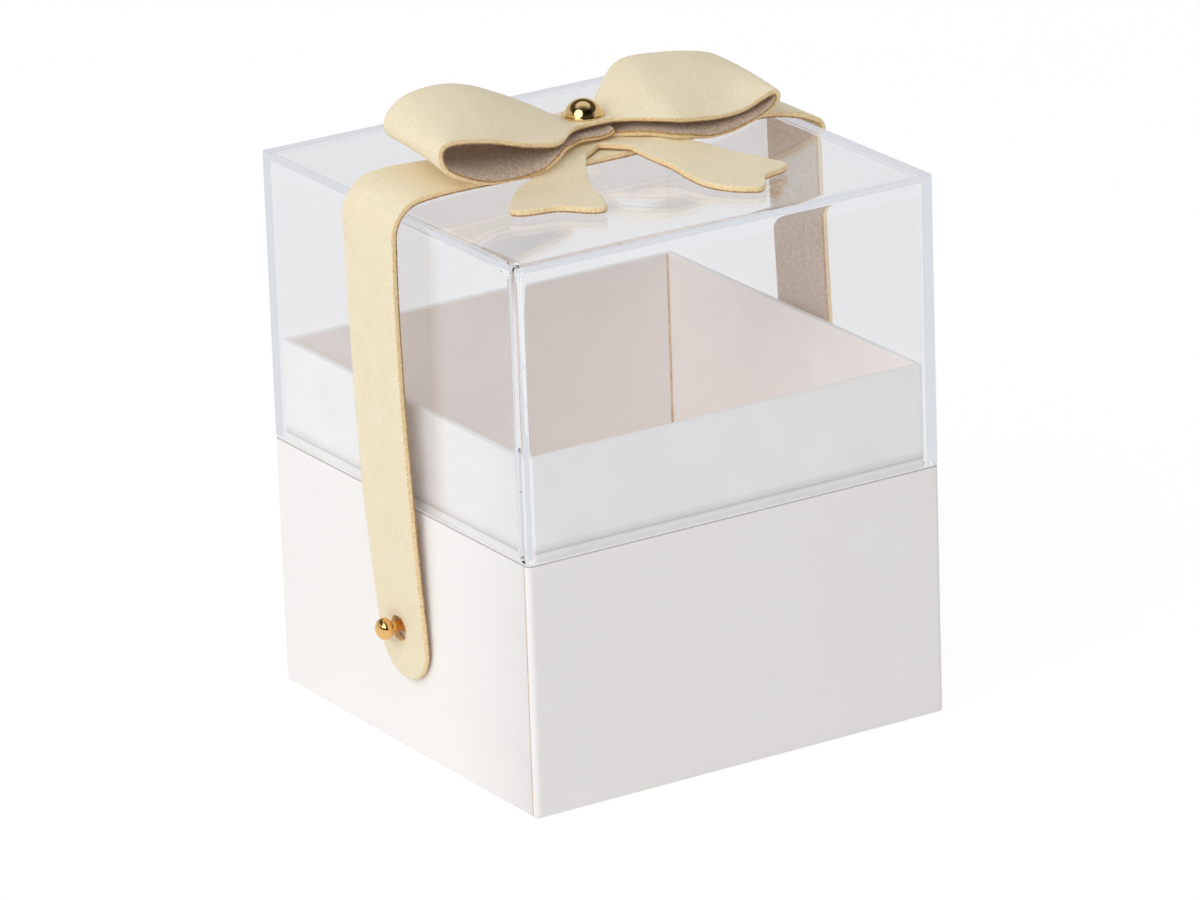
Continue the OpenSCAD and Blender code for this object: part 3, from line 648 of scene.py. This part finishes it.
def make_strap_half(name, side):
    """Half of the strap, from the rivet's axis to the round tip that buttons over the stud."""
    line = strap_line(side)
    run = [0.0]
    for a, b in zip(line, line[1:]):
        run.append(run[-1] + (b - a).length)
    leg_from = run[-LEG_STEPS - 1]
    leg = list(zip([p.y for p in line], run))[-LEG_STEPS - 1:]

    def run_at(z):
        """Distance along the strap at a height on the leg."""
        for (z0, s0), (z1, s1) in zip(leg, leg[1:]):
            if z >= z1:
                return lerp(s0, s1, (z0 - z) / (z0 - z1))
        return leg[-1][1]

    def place(s, y):
        """Middle of the leather at a distance along the strap and a place across it."""
        i = min(max(bisect_right(run, s) - 1, 0), len(line) - 2)
        t = min(max((s - run[i]) / (run[i + 1] - run[i]), 0.0), 1.0)
        tangents = [(line[min(k + 1, len(line) - 1)] - line[max(k - 1, 0)]).normalized()
                    for k in (i, i + 1)]
        tangent = tangents[0].lerp(tangents[1], t).normalized()
        out = Vector((-tangent.y, tangent.x))
        p = line[i].lerp(line[i + 1], t)
        twist = aslant = 0.0
        if side < 0:
            twist = TWIST * max(0.0, y / TWIST_HALF) * bell(s - TWIST_AT, TWIST_REACH)
        else:
            aslant = ASLANT * ease((s - 15) / 30) * (1 - ease((s - 70) / 50))
        to_hole = math.hypot(y - HOLE_Y, p.y - HOLE_Z) - HOLE_R
        dish = DISH * bell(to_hole, DISH_REACH) if s > leg_from else 0.0
        # It waves between the knot and the tip, and lies flat at both
        wave = WAVES[side] * noise.noise(Vector((s * WAVES_ALONG, y * WAVES_ACROSS, side)))
        wave *= ease((s - 10) / 20) * ease((run[-1] - s - 12) / 20)
        p = p + out * (wave + twist - dish - LEATHER_T / 2)
        return Vector((side * p.x, y + aslant, p.y))

    # Outline in plan: along the front edge to the tip, round it and back along the other edge
    front, back = [], []
    steps = int(leg_from / BORDER_PITCH)
    for k in range(steps):
        s = leg_from * k / steps
        front.append((s, -STRAP_W / 2))
        back.append((s, STRAP_W / 2))
    for k in range(LEG_POINTS):
        z = lerp(SPLIT_Z, TIP_Z, k / LEG_POINTS)
        middle, half = leg_middle(z)
        front.append((run_at(z), middle - half))
        back.append((run_at(z), middle + half))
    tip = []
    for k in range(TIP_POINTS + 1):
        a = math.pi * k / TIP_POINTS
        tip.append((run_at(TIP_Z - TIP_R * math.sin(a)), TIP_Y - TIP_R * math.cos(a)))
    outline = front + tip + back[::-1]
    outline += [(0.0, lerp(STRAP_W / 2, -STRAP_W / 2, k / JOINT_POINTS))
                for k in range(1, JOINT_POINTS)]

    def round_hole(r, places):
        return [(run_at(HOLE_Z + r * math.cos(a)), HOLE_Y + r * math.sin(a))
                for a in (2 * math.pi * k / HOLE_POINTS for k in places)]

    points = outline + round_hole(HOLE_R, range(0, -HOLE_POINTS, -1))
    n, h = len(outline), HOLE_POINTS
    edges = [(k, (k + 1) % n) for k in range(n)] + [(n + k, n + (k + 1) % h) for k in range(h)]
    for ring in HOLE_RINGS:
        points += round_hole(HOLE_R + ring, [k + 0.5 for k in range(HOLE_POINTS)])
    for i in range(1, int(run[-1] / INNER_PITCH) + 1):
        s = i * INNER_PITCH
        z = place(s, 0).z
        middle, half = (0.0, STRAP_W / 2) if s < leg_from else leg_middle(z)
        if z < TIP_Z and s > leg_from:
            middle, half = TIP_Y, math.sqrt(max(TIP_R**2 - (TIP_Z - z) ** 2, 0))
        for j in range(-COLUMNS, COLUMNS + 1):
            y = middle + j / COLUMNS * (half - BORDER_ROOM)
            to_hole = math.hypot(y - HOLE_Y, z - HOLE_Z) - HOLE_R
            if half > LEAST_HALF and (s < leg_from or to_hole > HOLE_ROOM):
                points.append((s, y))
    made = delaunay_2d_cdt([Vector(p) for p in points], edges, [], 2, 1e-5)
    flat_points, triangles = made[0], made[2]
    middle = [place(*p) for p in flat_points]
    flat = {i for i, p in enumerate(flat_points) if p[0] < 1e-4}

    def near_hole(p, reach):
        return p.z < SPLIT_Z and math.hypot(p.y - HOLE_Y, p.z - HOLE_Z) < reach

    faces = []
    for f in triangles:
        if not near_hole(sum((middle[i] for i in f), Vector()) / len(f), 0.97 * HOLE_R):
            faces.append(tuple(f) if side > 0 else tuple(f[::-1]))
    piece = leather_piece(name, middle, faces, flat)
    # Round the hole the edge keeps its tan, without the fringe's darker band of painted shade
    for p in piece.data.polygons:
        if p.material_index == CUT_FRINGE_AND_SHADE and near_hole(p.center / MM, HOLE_R + 0.6):
            p.material_index = CUT_EDGE
    return piece


# ---------- the box's walls, each swept round a square ----------
def square_ring(half, r, z, arc, side, near=0.3, groove=0.0):
    """Points round a square with rounded corners, anticlockwise seen from above. The groove is
    the depth of the paper's seam near the front left corner."""
    ring = []
    for c, (sx, sy) in enumerate([(1, -1), (1, 1), (-1, 1), (-1, -1)]):
        for k in range(arc + 1):
            a = math.radians(-90 + 90 * c + 90 * k / arc)
            ring.append(Vector((sx * (half - r) + r * math.cos(a),
                                sy * (half - r) + r * math.sin(a), z)))
        start = ring[-1]
        nx, ny = [(1, 1), (-1, 1), (-1, -1), (1, -1)][c]
        end = Vector((nx * half, ny * (half - r), z)) if c in (0, 2) else \
            Vector((nx * (half - r), ny * half, z))
        length = (end - start).length
        stops = [near] + [length * k / side for k in range(1, side)]
        if c == 2:
            # On a ring with a small radius, the seam stays short of the corner
            seam = [min(length - near, length - (y - end.y)) for y in SEAM_Y[::-1]]
            seam = [min(s, length - 0.2 + 0.05 * i) for i, s in enumerate(seam)]
            at = [start.lerp(end, s / length) for s in seam]
            inward = Vector((groove, 0, 0))
            ring += [start.lerp(end, s / length) for s in stops]
            ring += [at[0], at[0] + inward, at[1] + inward, at[1]]
        else:
            ring += [start.lerp(end, s / length) for s in stops + [length - near]]
    return ring


def swept_square(name, rings, bands, materials, caps=False, closed=True):
    """Walls between rings of points. Going up, a wall faces out; going down, it faces in."""
    n = len(rings[0])
    verts = [p for ring in rings for p in ring]
    faces, index = [], []
    last = len(rings) if closed else len(rings) - 1
    for i in range(last):
        a, b = i * n, (i + 1) % len(rings) * n
        for k in range(n):
            m = (k + 1) % n
            faces.append((a + k, a + m, b + m, b + k))
            index.append(bands[i])
    if caps:
        faces.append(tuple(range(n))[::-1])
        faces.append(tuple(range((len(rings) - 1) * n, len(rings) * n)))
        index += [bands[0], bands[-1]]
    return finish_mesh(name, verts, faces, materials, index)


# Radii of the covering paper's folds round the board, and the room that its flat parts leave
FOOT_FOLD = 0.5
RIM_FOLD = 0.4
FOLD_ROOM = 1.2
SEAM_DEPTH = 0.12


def make_wrap():
    """Covering paper round the tray, its folds pulled round the board and its butt seam open
    by a hair, where the glue line shows."""
    fold = [math.radians(a) for a in (0, 30, 60, 90)]
    low, top = PAPER_T, BASE_H
    inner = BOARD_IN - PAPER_T
    rows = [(HALF_W - TURN_IN, low), (HALF_W - 2, low)]
    rows += [(HALF_W - FOOT_FOLD + FOOT_FOLD * math.sin(a),
              low + FOOT_FOLD - FOOT_FOLD * math.cos(a)) for a in fold]
    rows += [(HALF_W, low + FOLD_ROOM), (HALF_W, top - FOLD_ROOM)]
    rows += [(HALF_W - RIM_FOLD + RIM_FOLD * math.cos(a),
              top - RIM_FOLD + RIM_FOLD * math.sin(a)) for a in fold]
    rows += [(inner + RIM_FOLD - RIM_FOLD * math.sin(a),
              top - RIM_FOLD + RIM_FOLD * math.cos(a)) for a in fold]
    rows += [(inner, top - FOLD_ROOM), (inner, top - TURN_IN), (BOARD_IN, top - TURN_IN),
             (BOARD_IN, top - PAPER_T), (HALF_W - PAPER_T, top - PAPER_T),
             (HALF_W - PAPER_T, 2 * PAPER_T), (HALF_W - TURN_IN, 2 * PAPER_T)]
    rings = []
    for half, z in rows:
        open_seam = SEAM_DEPTH if half > HALF_W - 0.1 else 0.0
        radius = max(CORNER_R - (HALF_W - half), 0.15)
        rings.append(square_ring(half, radius, z, 6, 2, groove=open_seam))
    wrap = swept_square("base_covering_paper", rings, [0] * len(rings), [PAPER, CUT])
    for p in wrap.data.polygons:
        c = p.center / MM
        in_seam = SEAM_Y[0] - 0.01 < c.y < SEAM_Y[1] + 0.01
        if in_seam and c.x < -HALF_W + SEAM_DEPTH + 0.02:
            p.material_index = 1
    return wrap


def make_collar():
    """Collar folded from a strip of board: white outside, its warmer back inside, and its raw
    cut end showing in the back right corner."""
    low, top = COLLAR_LOW, COLLAR_TOP
    outside, inside, raw = range(3)
    # Half width, corner radius, height, and the side of the board from there on
    rows = [(COLLAR_IN, 0.2, low, outside), (COLLAR_OUT, 0.9, low, outside),
            (COLLAR_OUT, 0.9, low + 1, outside), (COLLAR_OUT, 0.9, top - 0.6, outside),
            (COLLAR_OUT, 0.9, top - 0.2, outside), (COLLAR_OUT - 0.06, 0.85, top - 0.06, outside),
            (COLLAR_OUT - 0.2, 0.8, top, outside), (COLLAR_IN + 0.2, 0.3, top, outside),
            (COLLAR_IN + 0.06, 0.25, top - 0.06, inside), (COLLAR_IN, 0.2, top - 0.2, inside),
            (COLLAR_IN, 0.2, top - 0.8, inside), (COLLAR_IN, 0.2, low + 1, inside)]
    rings = [square_ring(half, r, z, 5, 2, near=0.4) for half, r, z, _ in rows]
    collar = swept_square("collar_board", rings, [row[3] for row in rows],
                          [LINED, LINING, CUT])
    for p in collar.data.polygons:
        c = p.center / MM
        if p.material_index == inside and c.x > COLLAR_IN - 0.65 and c.y > COLLAR_IN - 0.1:
            p.material_index = raw
    return collar


# Depth of the cement's uneven bead and of the drop that ran down in the front left corner, the
# drop's place and widths, and the air bubbles left in the bonds round the ceiling, as
# (x, y, half length)
BEAD = 0.12
DROP = 1.1
DROP_FROM_CORNER = 3
DROP_WIDTHS = (1.5, 2.2)
BUBBLE_HALF_W, BUBBLE_HALF_H = 0.2, 0.07
BUBBLES = [(6.8, -48.7, 0.6), (13.5, -48.9, 0.45), (19.8, -48.5, 0.55), (27.5, -49, 0.3),
           (-30.2, -48.8, 0.3), (-48.8, -22.4, 0.4), (-48.9, 14.6, 0.35), (48.9, -17.8, 0.4),
           (49, 21.3, 0.5), (-48.6, -33, 0.35), (33.5, -48.6, 0.35)]


def make_lid():
    """The lid's five sheets bonded into one: polished bevels outside, a bead of cement along
    the inner corners, and a few air bubbles left in the bonds."""
    # Half width, corner radius and height, from the ceiling down inside and up outside
    rows = [(LID_IN - 1.6, 0.2, CEILING), (LID_IN - 0.45, 0.35, CEILING),
            (LID_IN - 0.18, 0.45, CEILING - 0.07), (LID_IN - 0.07, 0.45, CEILING - 0.18),
            (LID_IN, 0.45, CEILING - 0.45), (LID_IN, 0.45, CEILING - 1.6),
            (LID_IN, 0.45, LID_LOW + 1), (LID_IN, 0.45, LID_LOW + 0.3),
            (LID_IN + 0.3, 0.4, LID_LOW), (LID_OUT - 0.45, 0.4, LID_LOW),
            (LID_OUT, 0.45, LID_LOW + 0.45), (LID_OUT, 0.45, LID_LOW + 1),
            (LID_OUT, 0.45, LID_TOP - 1), (LID_OUT, 0.45, LID_TOP - 0.35),
            (LID_OUT - 0.04, 0.45, LID_TOP - 0.24), (LID_OUT - 0.24, 0.4, LID_TOP - 0.04),
            (LID_OUT - 0.35, 0.35, LID_TOP), (LID_OUT - 1, 0.3, LID_TOP)]
    rings = [square_ring(half, r, z, 6, 34) for half, r, z in rows]
    for ring in rings[2:4]:
        for p in ring:
            drop = DROP * bell(p.x + LID_IN, DROP_WIDTHS[0])
            drop *= bell(p.y + LID_IN - DROP_FROM_CORNER, DROP_WIDTHS[1])
            p.z -= max(BEAD * noise.noise(p * 0.3), 0) + drop
    lid = swept_square("clear_lid", rings, [0] * (len(rings) - 1), [ACRYLIC], caps=True,
                       closed=False)
    mesh = bmesh.new()
    mesh.from_mesh(lid.data)
    for x, y, size in BUBBLES:
        flat_x, flat_y = (size, BUBBLE_HALF_W) if abs(y) > abs(x) else (BUBBLE_HALF_W, size)
        shape = Vector((flat_x, flat_y, BUBBLE_HALF_H)) * MM
        place = Matrix.Translation(Vector((x, y, CEILING + 0.05)) * MM)
        place = place @ Matrix.Diagonal((*shape, 1.0))
        ball = bmesh.ops.create_icosphere(mesh, subdivisions=2, radius=1.0, matrix=place)
        own = {f for v in ball["verts"] for f in v.link_faces}
        bmesh.ops.reverse_faces(mesh, faces=list(own))
        for f in own:
            f.smooth = True
    mesh.to_mesh(lid.data)
    mesh.free()
    return lid


# ---------- camera ----------
# Solved from the photograph's perspective for a box with a square footprint
LENS_MM = 252.34
CAMERA_AT = (-0.87025, -1.39877, 0.63663)
CAMERA_LOOKS = (0.49768, 0.80084, -0.33312)
CAMERA_ROLL = -1.98


def make_camera():
    data = bpy.data.cameras.new("camera")
    data.sensor_fit = "HORIZONTAL"
    data.sensor_width = 36.0
    data.lens = LENS_MM
    data.clip_end = 20.0
    cam = bpy.data.objects.new("camera", data)
    bpy.context.scene.collection.objects.link(cam)
    look = Vector(CAMERA_LOOKS).normalized().to_track_quat("-Z", "Y")
    cam.rotation_mode = "QUATERNION"
    cam.rotation_quaternion = look @ Quaternion((0, 0, 1), math.radians(CAMERA_ROLL))
    cam.location = Vector(CAMERA_AT)
    bpy.context.scene.camera = cam


# ---------- the pieces ----------
make_camera()

loops = make_loops()
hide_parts("bow_left_loop", "bow_right_loop")
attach(loops, "strap")
for tail in (make_tail("bow_tail_left", LEFT_TAIL, gentle=4, lift=0.5, over=0.0),
             make_tail("bow_tail_right", RIGHT_TAIL, gentle=8, lift=0.1, over=0.03)):
    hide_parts("bow_tails")
    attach(tail, "strap")
for side, leg in ((-1, "left_leg"), (1, "right_leg")):
    half = make_strap_half("strap_leather_" + leg.split("_")[0], side)
    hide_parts("strap_top", "strap_" + leg)
    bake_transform(half)
lid = make_lid()
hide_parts("lid_top", "lid_front", "lid_back", "lid_left", "lid_right")
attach(lid, "lid")
wrap = make_wrap()
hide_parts("outer_wrap")
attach(wrap, "base")
collar = make_collar()
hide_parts("collar")
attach(collar, "base")

for name, mat in {"tray_board": GREYBOARD, "corner_stays": KRAFT, "bottom_sheet": PAPER,
                  "floor_liner": LINING, "bow_rivet_cap": GOLD, "bow_rivet_screw": GOLD,
                  "left_stud": STUD_GOLD, "right_stud": STUD_GOLD,
                  "left_stud_screw": STEEL, "right_stud_screw": STEEL}.items():
    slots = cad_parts[name].data.materials
    slots.clear()
    slots.append(mat)


# ---------- floor, background and light ----------
# Direction of the room's darker corner, in front on the left
NEAR_CORNER = (-0.52, -0.82, 0.24)


def make_world():
    """A white room for the camera. Matt surfaces get its soft light, polished metal mirrors its
    dark corner and the pale walls, and the clear sheets show it slightly greyer there."""
    world = bpy.data.worlds.new("studio")
    bpy.context.scene.world = world
    world.use_nodes = True
    t = world.node_tree
    t.nodes.clear()
    path = add(t, "ShaderNodeLightPath")
    way = add(t, "ShaderNodeTexCoord")
    to_near_corner = add(t, "ShaderNodeVectorMath", {"operation": "DOT_PRODUCT"}, {
        0: (way, "Generated"), 1: NEAR_CORNER})
    parts = add(t, "ShaderNodeSeparateXYZ", inputs={"Vector": (way, "Generated")})
    overhead = add(t, "ShaderNodeValToRGB", {"stops": [(0.0, "#C6C6C6"), (1.0, "#E6E6E6")]}, {
        "Fac": (parts, "Z")})
    to_front = add(t, "ShaderNodeMath", {"operation": "MULTIPLY"}, {0: (parts, "Y"), 1: -1.0})
    front = add(t, "ShaderNodeValToRGB", {"stops": [(0.0, "#FFFFFF"), (0.8, "#D5D5D5")]}, {
        "Fac": (to_front, "Value")})
    soft = add(t, "ShaderNodeMix", {"data_type": "RGBA", "blend_type": "MULTIPLY"}, {
        "Factor": 1.0, TONE: (overhead, "Color"), TINT: (front, "Color")})
    walls = add(t, "ShaderNodeValToRGB", {"stops": [
        (0.4, "#D4D5D5"), (0.5, "#4E483E"), (0.78, "#4E483E"), (0.88, "#E8E8E8")]}, {
        "Fac": (parts, "Z")})
    near_dark = add(t, "ShaderNodeValToRGB", {"stops": [(0.1, "#FFFFFF"), (0.55, "#4F4A44")]}, {
        "Fac": (to_near_corner, "Value")})
    room = add(t, "ShaderNodeMix", {"data_type": "RGBA", "blend_type": "MULTIPLY"}, {
        "Factor": 1.0, TONE: (walls, "Color"), TINT: (near_dark, "Color")})
    beyond = add(t, "ShaderNodeValToRGB", {"stops": [(0.1, "#FEFFFE"), (0.8, "#D0D1D3")]}, {
        "Fac": (to_near_corner, "Value")})
    fill = add(t, "ShaderNodeBackground", inputs={"Color": (soft, MIXED), "Strength": 1.0})
    mirrored = add(t, "ShaderNodeBackground", inputs={"Color": (room, MIXED), "Strength": 1.0})
    through = add(t, "ShaderNodeBackground", inputs={
        "Color": (beyond, "Color"), "Strength": 1.0})
    white = add(t, "ShaderNodeBackground", inputs={"Color": linear("#FFFFFF"), "Strength": 1.0})
    metal = add(t, "ShaderNodeMixShader", inputs={
        0: (path, "Is Glossy Ray"), 1: (fill, "Background"), 2: (mirrored, "Background")})
    long_way = add(t, "ShaderNodeMath", {"operation": "GREATER_THAN"}, {
        0: (path, "Ray Depth"), 1: 4.0})
    in_sheet = add(t, "ShaderNodeMath", {"operation": "MAXIMUM"}, {
        0: (path, "Is Transmission Ray"), 1: (long_way, "Value")})
    sheets = add(t, "ShaderNodeMixShader", inputs={
        0: (in_sheet, "Value"), 1: (metal, "Shader"), 2: (through, "Background")})
    seen = add(t, "ShaderNodeMixShader", inputs={
        0: (path, "Is Camera Ray"), 1: (sheets, "Shader"), 2: (white, "Background")})
    add(t, "ShaderNodeOutputWorld", inputs={"Surface": (seen, "Shader")})


def floor_material():
    """White paper sweep: it glows where the camera, metal or the clear sheets see it, and it
    keeps the box's soft shadow."""
    mat, t = new_material("white_sweep")
    at = add(t, "ShaderNodeTexCoord")
    mottle = add(t, "ShaderNodeTexNoise", inputs={
        "Vector": (at, "Object"), "Scale": per_metre(33.33)})
    colour = add(t, "ShaderNodeValToRGB", {"stops": [(0.3, "#F7F7F7"), (0.7, "#F9F9F9")]}, {
        "Fac": (mottle, "Fac")})
    matt = add(t, "ShaderNodeBsdfDiffuse", inputs={"Color": (colour, "Color")})
    glow = add(t, "ShaderNodeEmission", inputs={"Color": linear("#FFFFFF"), "Strength": 1.03})
    mirrored = add(t, "ShaderNodeEmission", inputs={
        "Color": linear("#F8F8F9"), "Strength": 1.0})
    through = add(t, "ShaderNodeEmission", inputs={
        "Color": linear("#FDFEFD"), "Strength": 1.0})
    path = add(t, "ShaderNodeLightPath")
    metal = add(t, "ShaderNodeMixShader", inputs={
        0: (path, "Is Glossy Ray"), 1: (glow, "Emission"), 2: (mirrored, "Emission")})
    lit = add(t, "ShaderNodeMixShader", inputs={
        0: (path, "Is Transmission Ray"), 1: (metal, "Shader"), 2: (through, "Emission")})
    camera_part = add(t, "ShaderNodeMath", {"operation": "MULTIPLY"}, {
        0: (path, "Is Camera Ray"), 1: 0.88})
    not_matt = add(t, "ShaderNodeMath", {"operation": "MAXIMUM"}, {
        0: (path, "Is Glossy Ray"), 1: (path, "Is Transmission Ray")})
    share = add(t, "ShaderNodeMath", {"operation": "MAXIMUM"}, {
        0: (camera_part, "Value"), 1: (not_matt, "Value")})
    mixed = add(t, "ShaderNodeMixShader", inputs={
        0: (share, "Value"), 1: (matt, "BSDF"), 2: (lit, "Shader")})
    add(t, "ShaderNodeOutputMaterial", inputs={"Surface": (mixed, "Shader")})
    return mat


def softbox(name, place, size, watts, aim):
    """A round lamp, its place, size and aim in metres."""
    data = bpy.data.lights.new(name, "AREA")
    data.shape = "DISK"
    data.size = size
    data.energy = watts
    lamp = bpy.data.objects.new(name, data)
    bpy.context.scene.collection.objects.link(lamp)
    lamp.location = place
    lamp.rotation_mode = "QUATERNION"
    lamp.rotation_quaternion = (Vector(aim) - Vector(place)).to_track_quat("-Z", "Y")


make_world()

FLOOR_REACH = 4000
FLOOR_Z = -0.02
floor = finish_mesh("floor", [(-FLOOR_REACH, -FLOOR_REACH, FLOOR_Z),
                              (FLOOR_REACH, -FLOOR_REACH, FLOOR_Z),
                              (FLOOR_REACH, FLOOR_REACH, FLOOR_Z),
                              (-FLOOR_REACH, FLOOR_REACH, FLOOR_Z)],
                    [(0, 1, 2, 3)], [floor_material()], sharp=True)
softbox("key_softbox", (-1.1, -0.5, 0.95), 1.3, 9.9, aim=(0, 0, 0.07))

# The clear sheets' edges take many inner reflections before light leaves them
cycles = bpy.context.scene.cycles
cycles.max_bounces = 28
cycles.diffuse_bounces = 10
cycles.glossy_bounces = 20
cycles.transmission_bounces = 24
cycles.transparent_max_bounces = 24

bpy.context.scene.view_settings.view_transform = "Standard"
